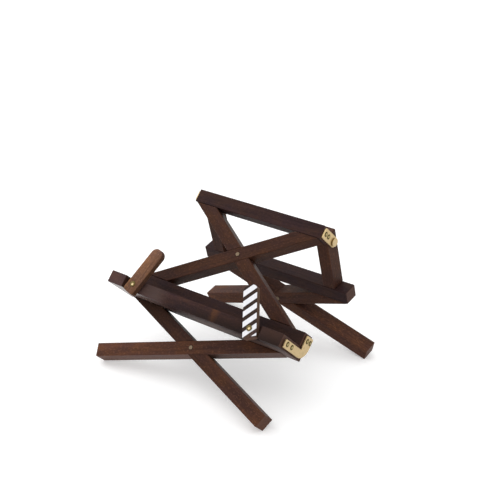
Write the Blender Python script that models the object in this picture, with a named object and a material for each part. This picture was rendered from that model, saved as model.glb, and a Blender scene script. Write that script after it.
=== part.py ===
"""Folding reading stand: crossed hardwood bars, a recessed ledge, brass corner plates and two page arms.

The front frame holds the ledge, the crossed front legs below it and the crossed back bars above it.
The rear frame hangs on two brass hinge plates at the top rail and swings forward until the stand is flat.
Lengths are in metres. In each frame's own axes x runs along the ledge, y is depth and z is height.
"""
import math

import bmesh
import bpy
from mathutils import Euler, Matrix, Vector

MM = 0.001

# Bar stock, shared by the legs, the back bars, the rails and the posts
BAR_WIDTH = 11.6 * MM
BAR_DEPTH = 13.0 * MM
BAR_EASE = 0.5 * MM

# Gaps between pieces, and how far a cutter runs past what it cuts
CLEARANCE = 0.3 * MM
OVERRUN = 2.0 * MM

# Leaning of the two frames, measured from upright
FRONT_LEAN = math.radians(42.5)
REAR_LEAN = math.radians(15.9)

# Crossed legs, the same in front and at the back
LEG_SLOPE = math.radians(19.8)
LEG_FOOT_HALF = 88.0 * MM
LEG_RISE = 54.4 * MM

# Ledge with its recess for the page arms
LEDGE_HALF = 90.25 * MM
LEDGE_DEPTH = 38.1 * MM
LEDGE_HEIGHT = 10.5 * MM
END_BLOCK_LENGTH = 18.15 * MM
RECESS_SHIFT = -1.8 * MM

# Back of the front frame
BACK_SETBACK = 27.5 * MM
BACK_REBATE = 0.6 * MM
BACK_FOOT_INSET = 24.2 * MM
BACK_TOP_INSET = 12.6 * MM
HINGE_HEIGHT = 91.9 * MM
TOP_RAIL_HALF = 65.6 * MM

# Rear frame
REAR_RAIL_HALF = 77.0 * MM
HINGE_GAP = 0.4 * MM
POST_STOP_LENGTH = 6.0 * MM

# Page arms and their screws
ARM_WIDTH = 12.2 * MM
ARM_THICKNESS = 5.2 * MM
ARM_HEAD = 36.0 * MM
ARM_TAIL = 7.9 * MM
LEFT_ARM_CORNER = 5.6 * MM
RIGHT_ARM_CORNER = 4.4 * MM
ARM_TAIL_CORNER = 2.0 * MM
ARM_EASE = 0.4 * MM
ARM_PIVOT_INSET = 10.3 * MM
LEFT_ARM_LEAN = math.radians(16.0)
RIGHT_ARM_LEAN = math.radians(-27.0)
SCREW_RADIUS = 1.3 * MM
SCREW_HEAD_RADIUS = 2.4 * MM
SCREW_HEAD_HEIGHT = 0.8 * MM
SCREW_RIM_HEIGHT = 0.3 * MM
SCREW_SLOT_WIDTH = 0.6 * MM
SCREW_SLOT_DEPTH = 0.4 * MM
SCREW_IN_LEDGE = 12.0 * MM
WASHER_RADIUS = 3.8 * MM
WASHER_THICKNESS = 0.5 * MM

# Brass plates, their rivets and the hinge pins
PLATE_THICKNESS = 1.5 * MM
PLATE_MARGIN = 1.4 * MM
PLATE_TOP_MARGIN = 2.2 * MM
PLATE_UPRIGHT_INSET = 3.0 * MM
PLATE_FRONT_MARGIN = 4.3 * MM
PLATE_CORNER = 11.0 * MM
PLATE_SMALL_CORNER = 1.2 * MM
PLATE_EASE = 0.25 * MM
RIVET_RADIUS = 1.5 * MM
RIVET_PROUD = 0.3 * MM
RIVET_EASE = 0.3 * MM
RIVET_IN_WOOD = 7.0 * MM
RIVET_INSET = 4.0 * MM
RIVET_SPACING = 7.4 * MM
SHORT_RIVET_SPACING = 5.0 * MM
HINGE_STRAP_HEIGHT = 9.0 * MM
STRAP_END_SHARE = 0.97
HINGE_PIN_RADIUS = 2.0 * MM
HINGE_HEAD_RADIUS = 3.6 * MM
HINGE_HEAD_HEIGHT = 1.2 * MM
HINGE_PIN_PROUD = 0.5 * MM

# Rivets through the crossings and dowels inside the joints
LAP_RIVET_RADIUS = 1.8 * MM
LAP_RIVET_PROUD = 0.5 * MM
PIN_EASE = 0.35 * MM
DOWEL_RADIUS = 2.0 * MM
DOWEL_IN_RAIL = 5.0 * MM
DOWEL_IN_BAR = 5.0 * MM
DOWEL_PLACE_SHARE = 0.5
LEDGE_DOWEL_HALF = 32.0 * MM

PIN_SIDES = 24
DOWEL_SIDES = 16
DOME_STEPS = 4
ARC_STEPS = 8
EASE_SEGMENTS = 2
SMOOTH_ANGLE = math.radians(35)
MERGE_DISTANCE = 0.01 * MM
SIDES = ((-1, "left"), (1, "right"))

# Derived places, in the axes of the front frame: zero is the ledge's top front edge
RAIL_HEIGHT = BAR_WIDTH
RECESS_HALF = LEDGE_HALF - END_BLOCK_LENGTH
ARM_PIVOT_HALF = RECESS_HALF - ARM_PIVOT_INSET
RECESS_DEPTH = ARM_THICKNESS + WASHER_THICKNESS + 2 * CLEARANCE
LEG_FRONT = LEDGE_DEPTH - BAR_DEPTH
LEG_MIDDLE = LEDGE_DEPTH - BAR_DEPTH / 2
LEG_TOP = -LEDGE_HEIGHT - CLEARANCE
BACK_MIDDLE = BACK_SETBACK + BAR_DEPTH / 2
BACK_DOWEL_DEPTH = (BACK_SETBACK + LEDGE_DEPTH) / 2
BACK_REAR = BACK_SETBACK + BAR_DEPTH
UPRIGHT_FRONT = BACK_SETBACK + PLATE_UPRIGHT_INSET
BACK_RAIL_BOTTOM = CLEARANCE - BACK_REBATE
BACK_RAIL_TOP = BACK_RAIL_BOTTOM + RAIL_HEIGHT
TOP_RAIL_BOTTOM = HINGE_HEIGHT - RAIL_HEIGHT / 2
ARM_PIVOT_HEIGHT = -LEDGE_HEIGHT / 2
HINGE_OFFSET = BAR_DEPTH / 2 + HINGE_GAP
HINGE_DEPTH = BACK_REAR + HINGE_OFFSET
FOLD_ANGLE = FRONT_LEAN + REAR_LEAN
FOOT_DROP = BAR_WIDTH / 2 * math.cos(LEG_SLOPE)
POST_MIDDLE = TOP_RAIL_HALF - BAR_WIDTH / 2
BACK_BAR_FOOT_HALF = LEDGE_HALF - BACK_FOOT_INSET
BACK_BAR_TOP_HALF = TOP_RAIL_HALF - BACK_TOP_INSET
BACK_SLOPE = math.atan((TOP_RAIL_BOTTOM - BACK_RAIL_TOP) / (BACK_BAR_FOOT_HALF + BACK_BAR_TOP_HALF))
LEG_TOP_HALF = LEG_RISE / math.tan(LEG_SLOPE) - LEG_FOOT_HALF
LEG_CONTACT_HALF = BAR_WIDTH / 2 / math.sin(LEG_SLOPE)
LEG_DOWEL_HALF = LEG_TOP_HALF - DOWEL_PLACE_SHARE * LEG_CONTACT_HALF
REAR_LEG_TOP_HALF = REAR_RAIL_HALF - LEG_CONTACT_HALF
REAR_LEG_RISE = (LEG_FOOT_HALF + REAR_LEG_TOP_HALF) * math.tan(LEG_SLOPE)
REAR_LEG_DOWEL_HALF = REAR_LEG_TOP_HALF - DOWEL_PLACE_SHARE * LEG_CONTACT_HALF
BACK_FOOT_DOWEL_HALF = BACK_BAR_FOOT_HALF - DOWEL_PLACE_SHARE * BAR_WIDTH / 2 / math.sin(BACK_SLOPE)
BACK_TOP_DOWEL_HALF = BACK_BAR_TOP_HALF - DOWEL_PLACE_SHARE * BAR_WIDTH / 2 / math.sin(BACK_SLOPE)


def clear_scene():
    """Removes whatever objects the file holds."""
    for item in list(bpy.data.objects):
        bpy.data.objects.remove(item, do_unlink=True)


def material(name, color, roughness, metallic=0.0):
    """Makes one Principled material."""
    made = bpy.data.materials.new(name)
    made.use_nodes = True
    shader = made.node_tree.nodes["Principled BSDF"]
    shader.inputs["Base Color"].default_value = (*color, 1.0)
    shader.inputs["Roughness"].default_value = roughness
    shader.inputs["Metallic"].default_value = metallic
    made.diffuse_color = (*color, 1.0)
    return made


def empty(name, parent, location, turn=0.0):
    """Makes an empty that carries pieces, turned about its own x axis."""
    made = bpy.data.objects.new(name, None)
    bpy.context.scene.collection.objects.link(made)
    made.parent = parent
    made.location = location
    made.rotation_euler = (turn, 0.0, 0.0)
    return made


def rounded(points, radii):
    """Returns the outline with each corner turned into an arc of the given radius."""
    outline = []
    count = len(points)
    for index, (corner, radius) in enumerate(zip(points, radii)):
        here = Vector(corner)
        if radius == 0:
            outline.append(here)
            continue
        back = (Vector(points[index - 1]) - here).normalized()
        ahead = (Vector(points[(index + 1) % count]) - here).normalized()
        half = back.angle(ahead) / 2
        center = here + (back + ahead).normalized() * radius / math.sin(half)
        first = here + back * radius / math.tan(half) - center
        last = here + ahead * radius / math.tan(half) - center
        sweep = first.angle_signed(last)
        for step in range(ARC_STEPS + 1):
            turn = Matrix.Rotation(-sweep * step / ARC_STEPS, 2)
            outline.append(center + turn @ first)
    return outline


def prism(outline, low, high, across="depth"):
    """Extrudes an outline of (x, z) along the depth, or of (y, z) along x when across is "width"."""
    mesh = bmesh.new()
    if across == "depth":
        ring = [mesh.verts.new((a, low, b)) for a, b in outline]
        move = Vector((0.0, high - low, 0.0))
    else:
        ring = [mesh.verts.new((low, a, b)) for a, b in outline]
        move = Vector((high - low, 0.0, 0.0))
    face = mesh.faces.new(ring)
    grown = bmesh.ops.extrude_face_region(mesh, geom=[face])
    moved = [part for part in grown["geom"] if isinstance(part, bmesh.types.BMVert)]
    bmesh.ops.translate(mesh, verts=moved, vec=move)
    bmesh.ops.recalc_face_normals(mesh, faces=mesh.faces)
    return mesh


def rod(radius, start, end, sides=PIN_SIDES):
    """Makes a closed round rod between two points."""
    start, end = Vector(start), Vector(end)
    axis = end - start
    turn = axis.to_track_quat("Z", "Y").to_matrix().to_4x4()
    mesh = bmesh.new()
    bmesh.ops.create_cone(
        mesh, cap_ends=True, segments=sides, radius1=radius, radius2=radius, depth=axis.length,
        matrix=Matrix.Translation((start + end) / 2) @ turn)
    return mesh


def box(low, high):
    """Makes a box between two corners."""
    outline = [(low[0], low[2]), (high[0], low[2]), (high[0], high[2]), (low[0], high[2])]
    return prism(outline, low[1], high[1])


def join(meshes):
    """Puts several closed bodies into one mesh."""
    whole = bmesh.new()
    for part in meshes:
        held = bpy.data.meshes.new("held")
        part.to_mesh(held)
        part.free()
        whole.from_mesh(held)
        bpy.data.meshes.remove(held)
    return whole


def piece(name, mesh, look, parent):
    """Turns a mesh into a named object with its material."""
    data = bpy.data.meshes.new(name)
    mesh.to_mesh(data)
    mesh.free()
    data.materials.append(look)
    data.shade_smooth()
    data.set_sharp_from_angle(angle=SMOOTH_ANGLE)
    made = bpy.data.objects.new(name, data)
    bpy.context.scene.collection.objects.link(made)
    made.parent = parent
    return made


def ease(target, width):
    """Rounds the sharp edges a little."""
    bevel = target.modifiers.new("ease", "BEVEL")
    bevel.width = width
    bevel.segments = EASE_SEGMENTS
    bevel.limit_method = "ANGLE"
    bevel.angle_limit = SMOOTH_ANGLE


def cut(target, meshes):
    """Takes the given bodies out of the target."""
    cutter = bpy.data.objects.new(target.name + "_cutter", bpy.data.meshes.new(target.name + "_cutter"))
    whole = join(meshes)
    whole.to_mesh(cutter.data)
    whole.free()
    bpy.context.scene.collection.objects.link(cutter)
    cutter.parent = target.parent
    cutter.location = target.location
    cutter.rotation_euler = target.rotation_euler
    cutter.hide_render = True
    cutter.display_type = "WIRE"
    taken = target.modifiers.new("cut", "BOOLEAN")
    taken.operation = "DIFFERENCE"
    taken.solver = "EXACT"
    taken.use_self = True
    taken.object = cutter


def bar_lines(low, high):
    """Gives a bar's direction and sideways vector from its two centre points."""
    along = (Vector(high) - Vector(low)).normalized()
    side = Vector((-along.y, along.x))
    if side.y < 0:
        side.negate()
    return along, side


def reach_height(point, along, height):
    """Follows a line from a point until it is at the given height."""
    return point + along * (height - point.y) / along.y


def bar_outline(low, high, bottom_cut, top_cut):
    """Outlines a sloping bar: its top is cut level, and its bottom is cut level or square."""
    along, side = bar_lines(low, high)
    edges = [Vector(low) - side * BAR_WIDTH / 2, Vector(low) + side * BAR_WIDTH / 2]
    if bottom_cut is not None:
        feet = [reach_height(edge, along, bottom_cut) for edge in edges]
    else:
        feet = edges
    tops = [reach_height(edge, along, top_cut) for edge in edges]
    return [feet[0], feet[1], tops[1], tops[0]]


def lap_cutter(low, high, crossing, near, far):
    """Makes the housing that lets the crossing bar through."""
    along, side = bar_lines(low, high)
    reach = along * 2 * BAR_WIDTH
    half = side * (BAR_WIDTH / 2 + CLEARANCE)
    middle = Vector(crossing)
    outline = [middle - reach - half, middle + reach - half, middle + reach + half, middle - reach + half]
    return prism(outline, near, far)


def dowel_ends(joint, into_rail):
    """Gives a dowel's lower and upper end; into_rail is +1 where the rail lies above the joint."""
    return sorted([joint + into_rail * DOWEL_IN_RAIL, joint - into_rail * DOWEL_IN_BAR])


def dowel_hole(x, depth, joint, into_rail):
    """Makes the hole for a dowel that crosses the joint at the given height."""
    low, high = dowel_ends(joint, into_rail)
    radius = DOWEL_RADIUS + CLEARANCE
    return rod(radius, (x, depth, low - CLEARANCE), (x, depth, high + CLEARANCE), DOWEL_SIDES)


def make_dowels(name, half, depth, joint, into_rail, parent, dowel_wood):
    """Makes the left and the right dowel of a joint."""
    low, high = dowel_ends(joint, into_rail)
    for side, word in SIDES:
        pin = rod(DOWEL_RADIUS, (side * half, depth, low), (side * half, depth, high), DOWEL_SIDES)
        piece(f"{name}_{word}", pin, dowel_wood, parent)


def crossed_bars(names, rivet_name, parent, looks, low, high, bottom_cut, top_cut, depth, dowel_points):
    """Makes two bars that cross in a half lap, and the brass rivet through the crossing.

    low and high are the centre points of the bar that starts at the left. The other bar mirrors it.
    The left bar runs through in front, and the right bar runs through behind it.
    """
    wood, brass = looks
    front, back = depth
    middle = (front + back) / 2
    mirror = [(-low[0], low[1]), (-high[0], high[1])]
    share = low[0] / (low[0] - high[0])
    crossing = Vector((0.0, low[1] + (high[1] - low[1]) * share))
    lines = {names[0]: (low, high), names[1]: (mirror[0], mirror[1])}
    housings = {
        names[0]: lap_cutter(mirror[0], mirror[1], crossing, middle - CLEARANCE / 2, back + OVERRUN),
        names[1]: lap_cutter(low, high, crossing, front - OVERRUN, middle + CLEARANCE / 2),
    }
    for name, (start, end) in lines.items():
        made = piece(name, prism(bar_outline(start, end, bottom_cut, top_cut), front, back), wood, parent)
        ease(made, BAR_EASE)
        side = -1 if name == names[0] else 1
        holes = [dowel_hole(side * x, middle, joint, into_rail) for x, joint, into_rail in dowel_points]
        rivet_hole = rod(
            LAP_RIVET_RADIUS + CLEARANCE,
            (0.0, front - OVERRUN, crossing.y), (0.0, back + OVERRUN, crossing.y))
        cut(made, [housings[name], rivet_hole] + holes)
    rivet = piece(rivet_name, rod(
        LAP_RIVET_RADIUS,
        (0.0, front - LAP_RIVET_PROUD, crossing.y),
        (0.0, back + LAP_RIVET_PROUD, crossing.y)), brass, parent)
    ease(rivet, PIN_EASE)


def make_ledge(parent, wood):
    """The ledge under the book, with a recess for the page arms in front and a rebate for the rail behind."""
    made = piece("ledge", box(
        (-LEDGE_HALF, 0.0, -LEDGE_HEIGHT), (LEDGE_HALF, LEDGE_DEPTH, 0.0)), wood, parent)
    ease(made, BAR_EASE)
    recess = box(
        (RECESS_SHIFT - RECESS_HALF, -OVERRUN, -LEDGE_HEIGHT - OVERRUN),
        (RECESS_SHIFT + RECESS_HALF, RECESS_DEPTH, OVERRUN))
    rebate = box(
        (-LEDGE_HALF - OVERRUN, BACK_SETBACK - CLEARANCE, -BACK_REBATE),
        (LEDGE_HALF + OVERRUN, LEDGE_DEPTH + OVERRUN, OVERRUN))
    holes = [recess, rebate]
    for side, _ in SIDES:
        x, near, z = arm_pivot(side)
        far = RECESS_DEPTH + SCREW_IN_LEDGE + CLEARANCE
        holes.append(rod(SCREW_RADIUS + CLEARANCE, (x, near, z), (x, far, z)))
        holes.append(dowel_hole(side * LEG_DOWEL_HALF, LEG_MIDDLE, LEG_TOP, 1))
        holes.append(dowel_hole(side * LEDGE_DOWEL_HALF, BACK_DOWEL_DEPTH, BACK_RAIL_BOTTOM, 1))
        for depth, height in end_plate_rivets()[:2]:
            holes.append(end_hole(side, LEDGE_HALF, depth, height))
    cut(made, holes)


def arm_pivot(side):
    """Where an arm's screw meets the front plane of the ledge."""
    return (RECESS_SHIFT + side * ARM_PIVOT_HALF, 0.0, ARM_PIVOT_HEIGHT)


def end_hole(side, half, depth, height):
    """Makes a rivet's hole in a rail's end."""
    radius = RIVET_RADIUS + CLEARANCE
    inner = half - RIVET_IN_WOOD - CLEARANCE
    return rod(radius, (side * inner, depth, height), (side * (half + OVERRUN), depth, height))


def end_plate_rivets():
    """Places of a corner plate's rivets as (depth, height): two in the ledge, two in the back rail."""
    leg = [(PLATE_FRONT_MARGIN + RIVET_INSET + k * RIVET_SPACING, ARM_PIVOT_HEIGHT) for k in (0, 1)]
    upright = BACK_RAIL_TOP - PLATE_MARGIN - RIVET_INSET
    middle = (UPRIGHT_FRONT + BACK_REAR) / 2
    spread = SHORT_RIVET_SPACING / 2
    return leg + [(middle + k * spread, upright) for k in (-1, 1)]


def hinge_plate_rivets():
    """Places of a hinge plate's rivets in the top rail's end."""
    spread = SHORT_RIVET_SPACING / 2
    return [(BACK_MIDDLE + k * spread, HINGE_HEIGHT) for k in (-1, 1)]


def make_back_rail(parent, wood):
    """The lower back rail, in the rebate along the ledge's rear edge."""
    made = piece("back_rail", box(
        (-LEDGE_HALF, BACK_SETBACK, BACK_RAIL_BOTTOM), (LEDGE_HALF, BACK_REAR, BACK_RAIL_TOP)), wood, parent)
    ease(made, BAR_EASE)
    holes = []
    for side, _ in SIDES:
        holes.append(dowel_hole(side * LEDGE_DOWEL_HALF, BACK_DOWEL_DEPTH, BACK_RAIL_BOTTOM, 1))
        holes.append(dowel_hole(side * BACK_FOOT_DOWEL_HALF, BACK_MIDDLE, BACK_RAIL_TOP, -1))
        for depth, height in end_plate_rivets()[2:]:
            holes.append(end_hole(side, LEDGE_HALF, depth, height))
    cut(made, holes)


def make_top_rail(parent, wood):
    """The rail across the top of the back bars."""
    made = piece("top_rail", box(
        (-TOP_RAIL_HALF, BACK_SETBACK, TOP_RAIL_BOTTOM),
        (TOP_RAIL_HALF, BACK_REAR, TOP_RAIL_BOTTOM + RAIL_HEIGHT)), wood, parent)
    ease(made, BAR_EASE)
    holes = []
    for side, _ in SIDES:
        holes.append(dowel_hole(side * BACK_TOP_DOWEL_HALF, BACK_MIDDLE, TOP_RAIL_BOTTOM, 1))
        for depth, height in hinge_plate_rivets():
            holes.append(end_hole(side, TOP_RAIL_HALF, depth, height))
    cut(made, holes)


def make_plate(name, side, half, outline, holes, parent, brass):
    """Makes a brass plate on a rail's end, drilled for its rivets and pins."""
    inner = side * (half + CLEARANCE)
    outer = side * (half + CLEARANCE + PLATE_THICKNESS)
    made = piece(name, prism(outline, *sorted((inner, outer)), across="width"), brass, parent)
    ease(made, PLATE_EASE)
    reach = OVERRUN + PLATE_THICKNESS
    cut(made, [rod(
        radius + CLEARANCE,
        (side * (half - reach), depth, height), (side * (half + 2 * reach), depth, height))
        for radius, depth, height in holes])


def end_plate_outline():
    """The corner plate: a leg along the ledge's end and an upright over the back rail's end."""
    low = -LEDGE_HEIGHT + PLATE_MARGIN
    points = [
        (PLATE_FRONT_MARGIN, low), (BACK_REAR, low),
        (BACK_REAR, BACK_RAIL_TOP - PLATE_MARGIN), (UPRIGHT_FRONT, BACK_RAIL_TOP - PLATE_MARGIN),
        (UPRIGHT_FRONT, -PLATE_TOP_MARGIN), (PLATE_FRONT_MARGIN, -PLATE_TOP_MARGIN)]
    small = PLATE_SMALL_CORNER
    return rounded(points, [small, PLATE_CORNER, small, small, 0, small])


def hinge_plate_outline():
    """The strap from the top rail's end back to the hinge pin."""
    half = HINGE_STRAP_HEIGHT / 2
    low, high = HINGE_HEIGHT - half, HINGE_HEIGHT + half
    near, far = BACK_SETBACK + PLATE_MARGIN, HINGE_DEPTH + half
    small = PLATE_SMALL_CORNER
    end = half * STRAP_END_SHARE
    return rounded([(near, low), (far, low), (far, high), (near, high)], [small, end, end, small])


def make_rivets(name, side, half, places, parent, brass):
    """Makes the rivets that hold one plate."""
    outer = half + CLEARANCE + PLATE_THICKNESS + RIVET_PROUD
    inner = half - RIVET_IN_WOOD
    for number, (depth, height) in enumerate(places, 1):
        rivet = rod(RIVET_RADIUS, (side * inner, depth, height), (side * outer, depth, height))
        ease(piece(f"{name}_rivet_{number}", rivet, brass, parent), RIVET_EASE)


def make_plates(parent, brass):
    """The brass corner plates, hinge plates, their rivets and the hinge pins."""
    for side, word in SIDES:
        corner_holes = [(RIVET_RADIUS, depth, height) for depth, height in end_plate_rivets()]
        corner = end_plate_outline()
        make_plate("end_plate_" + word, side, LEDGE_HALF, corner, corner_holes, parent, brass)
        strap_holes = [(RIVET_RADIUS, depth, height) for depth, height in hinge_plate_rivets()]
        strap_holes.append((HINGE_PIN_RADIUS, HINGE_DEPTH, HINGE_HEIGHT))
        strap = hinge_plate_outline()
        make_plate("hinge_plate_" + word, side, TOP_RAIL_HALF, strap, strap_holes, parent, brass)
        make_rivets("end_plate_" + word, side, LEDGE_HALF, end_plate_rivets(), parent, brass)
        make_rivets("hinge_plate_" + word, side, TOP_RAIL_HALF, hinge_plate_rivets(), parent, brass)
        make_hinge_pin("hinge_pin_" + word, side, parent, brass)


def make_hinge_pin(name, side, parent, brass):
    """The headed pin that the rear post turns on."""
    inner = TOP_RAIL_HALF - BAR_WIDTH - HINGE_PIN_PROUD
    under_head = TOP_RAIL_HALF + PLATE_THICKNESS + 2 * CLEARANCE
    end = under_head + HINGE_HEAD_HEIGHT
    profile = [
        (0.0, inner), (HINGE_PIN_RADIUS, inner), (HINGE_PIN_RADIUS, under_head),
        (HINGE_HEAD_RADIUS, under_head), (HINGE_HEAD_RADIUS, end), (0.0, end)]
    made = piece(name, turned(profile, (side, 0.0, 0.0)), brass, parent)
    made.location = (0.0, HINGE_DEPTH, HINGE_HEIGHT)
    ease(made, PIN_EASE)


def turned(profile, direction):
    """Spins a profile of (radius, distance), where distance runs in the given direction from zero."""
    along = Vector(direction)
    out = along.orthogonal().normalized()
    mesh = bmesh.new()
    points = [mesh.verts.new(along * distance + out * radius) for radius, distance in profile]
    lines = [mesh.edges.new(pair) for pair in zip(points, points[1:])]
    bmesh.ops.spin(
        mesh, geom=points + lines, cent=(0.0, 0.0, 0.0), axis=along,
        angle=math.tau, steps=PIN_SIDES, use_merge=True)
    bmesh.ops.remove_doubles(mesh, verts=mesh.verts, dist=MERGE_DISTANCE)
    bmesh.ops.recalc_face_normals(mesh, faces=mesh.faces)
    return mesh


def make_arm(name, side, lean, corner, look, parent):
    """A page arm with a round-cornered top, its origin on the screw's axis."""
    half = ARM_WIDTH / 2
    points = [(-half, -ARM_TAIL), (half, -ARM_TAIL), (half, ARM_HEAD), (-half, ARM_HEAD)]
    outline = rounded(points, [ARM_TAIL_CORNER, ARM_TAIL_CORNER, corner, corner])
    made = piece(name, prism(outline, 0.0, ARM_THICKNESS), look, parent)
    made.location = arm_pivot(side)
    made.rotation_euler = (0.0, lean, 0.0)
    ease(made, ARM_EASE)
    cut(made, [rod(SCREW_RADIUS + CLEARANCE, (0.0, -OVERRUN, 0.0), (0.0, ARM_THICKNESS + OVERRUN, 0.0))])


def make_screw(name, side, parent, brass):
    """A round-headed screw through an arm and a washer into the ledge, its origin on the arm's face."""
    face = -CLEARANCE
    profile = [(0.0, RECESS_DEPTH + SCREW_IN_LEDGE), (SCREW_RADIUS, RECESS_DEPTH + SCREW_IN_LEDGE)]
    profile += [(SCREW_RADIUS, face), (SCREW_HEAD_RADIUS, face)]
    for step in range(DOME_STEPS + 1):
        turn = math.pi / 2 * step / DOME_STEPS
        rim = face - SCREW_RIM_HEIGHT
        dome = SCREW_HEAD_HEIGHT - SCREW_RIM_HEIGHT
        profile.append((SCREW_HEAD_RADIUS * math.cos(turn), rim - dome * math.sin(turn)))
    profile[-1] = (0.0, profile[-1][1])
    made = piece(name, turned(profile, (0.0, 1.0, 0.0)), brass, parent)
    made.location = arm_pivot(side)
    reach = SCREW_HEAD_RADIUS + OVERRUN
    top = face - SCREW_HEAD_HEIGHT
    half = SCREW_SLOT_WIDTH / 2
    cut(made, [box((-reach, top - OVERRUN, -half), (reach, top + SCREW_SLOT_DEPTH, half))])


def make_washer(name, side, parent, brass):
    """The washer between an arm and the ledge."""
    near = ARM_THICKNESS + CLEARANCE
    bore = SCREW_RADIUS + CLEARANCE
    far = near + WASHER_THICKNESS
    profile = [(bore, near), (WASHER_RADIUS, near), (WASHER_RADIUS, far), (bore, far), (bore, near)]
    made = piece(name, turned(profile, (0.0, 1.0, 0.0)), brass, parent)
    made.location = arm_pivot(side)


def make_front_frame(front, looks):
    """Everything that stands on the front legs, apart from the page arms."""
    wood, leg_wood, brass, dowel_wood = looks
    make_ledge(front, wood)
    make_back_rail(front, wood)
    make_top_rail(front, wood)
    foot = -LEDGE_HEIGHT - LEG_RISE
    crossed_bars(
        ("front_leg_left", "front_leg_right"), "front_leg_rivet", front, (leg_wood, brass),
        (-LEG_FOOT_HALF, foot), (LEG_TOP_HALF, -LEDGE_HEIGHT), None, LEG_TOP,
        (LEG_FRONT, LEDGE_DEPTH), [(-LEG_DOWEL_HALF, LEG_TOP, 1)])
    bottom = BACK_RAIL_TOP
    top = TOP_RAIL_BOTTOM
    crossed_bars(
        ("back_bar_left", "back_bar_right"), "back_bar_rivet", front, (leg_wood, brass),
        (-BACK_BAR_FOOT_HALF, bottom), (BACK_BAR_TOP_HALF, top), bottom + CLEARANCE, top - CLEARANCE,
        (BACK_SETBACK, BACK_REAR), [(BACK_FOOT_DOWEL_HALF, bottom, -1), (-BACK_TOP_DOWEL_HALF, top, 1)])
    make_dowels("front_leg_dowel", LEG_DOWEL_HALF, LEG_MIDDLE, LEG_TOP, 1, front, dowel_wood)
    make_dowels("ledge_dowel", LEDGE_DOWEL_HALF, BACK_DOWEL_DEPTH, BACK_RAIL_BOTTOM, 1, front, dowel_wood)
    make_dowels("back_bar_dowel", BACK_FOOT_DOWEL_HALF, BACK_MIDDLE, bottom, -1, front, dowel_wood)
    make_dowels("top_rail_dowel", BACK_TOP_DOWEL_HALF, BACK_MIDDLE, top, 1, front, dowel_wood)
    make_plates(front, brass)
    for side, word in SIDES:
        make_screw("arm_screw_" + word, side, front, brass)
        make_washer("arm_washer_" + word, side, front, brass)


def rear_leg_drop(hinge_height_above_floor):
    """Distance from the hinge down to the feet's centre line that puts the rear feet on the floor."""
    level = hinge_height_above_floor - BAR_DEPTH / 2 * math.sin(REAR_LEAN)
    return level / math.cos(REAR_LEAN) - FOOT_DROP


def post_outline(bottom):
    """A rear post from its side as (depth, height), with a round head and a flat stop above the hinge."""
    radius = BAR_DEPTH / 2
    toward = Vector((-math.cos(FOLD_ANGLE), math.sin(FOLD_ANGLE)))
    along = Vector((math.sin(FOLD_ANGLE), math.cos(FOLD_ANGLE)))
    outline = [Vector((radius, bottom)), Vector((-radius, bottom))]
    start = Vector((-1.0, 0.0))
    sweep = start.angle(toward)
    for step in range(ARC_STEPS + 1):
        turn = Matrix.Rotation(-sweep * step / ARC_STEPS, 2)
        outline.append(turn @ start * radius)
    peak = toward * radius + along * POST_STOP_LENGTH
    outline.append(peak)
    outline.append(Vector((radius, peak.y)))
    return outline


def make_rear_frame(rear, drop, looks):
    """The rear frame, in axes that start on the hinge: crossed legs, a rail and two posts."""
    wood, leg_wood, brass, dowel_wood = looks
    half = BAR_DEPTH / 2
    rail_bottom = -drop + REAR_LEG_RISE
    rail_top = rail_bottom + RAIL_HEIGHT
    crossed_bars(
        ("rear_leg_left", "rear_leg_right"), "rear_leg_rivet", rear, (leg_wood, brass),
        (-LEG_FOOT_HALF, -drop), (REAR_LEG_TOP_HALF, rail_bottom), None, rail_bottom - CLEARANCE,
        (-half, half), [(-REAR_LEG_DOWEL_HALF, rail_bottom, 1)])
    rail = piece("rear_rail", box(
        (-REAR_RAIL_HALF, -half, rail_bottom), (REAR_RAIL_HALF, half, rail_top)), wood, rear)
    ease(rail, BAR_EASE)
    rail_holes = []
    for side, word in SIDES:
        rail_holes.append(dowel_hole(side * REAR_LEG_DOWEL_HALF, 0.0, rail_bottom, 1))
        rail_holes.append(dowel_hole(side * POST_MIDDLE, 0.0, rail_top, -1))
        inner, outer = sorted((side * (TOP_RAIL_HALF - BAR_WIDTH), side * TOP_RAIL_HALF))
        post = piece("rear_post_" + word, prism(
            post_outline(rail_top + CLEARANCE), inner, outer, across="width"), leg_wood, rear)
        ease(post, BAR_EASE)
        cut(post, [
            dowel_hole(side * POST_MIDDLE, 0.0, rail_top, -1),
            rod(HINGE_PIN_RADIUS + CLEARANCE, (inner - OVERRUN, 0.0, 0.0), (outer + OVERRUN, 0.0, 0.0))])
    cut(rail, rail_holes)
    make_dowels("rear_leg_dowel", REAR_LEG_DOWEL_HALF, 0.0, rail_bottom, 1, rear, dowel_wood)
    make_dowels("rear_post_dowel", POST_MIDDLE, 0.0, rail_top, -1, rear, dowel_wood)


def settle(root):
    """Moves the whole stand so that the middle of its base is at zero."""
    bpy.context.view_layer.update()
    graph = bpy.context.evaluated_depsgraph_get()
    corners = []
    for item in bpy.data.objects:
        if item.type == "MESH" and not item.hide_render:
            seen = item.evaluated_get(graph)
            corners += [seen.matrix_world @ vertex.co for vertex in seen.data.vertices]
    low = [min(corner[k] for corner in corners) for k in range(3)]
    high = [max(corner[k] for corner in corners) for k in range(3)]
    root.location = (-(low[0] + high[0]) / 2, -(low[1] + high[1]) / 2, -low[2])
    bpy.context.view_layer.update()


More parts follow.
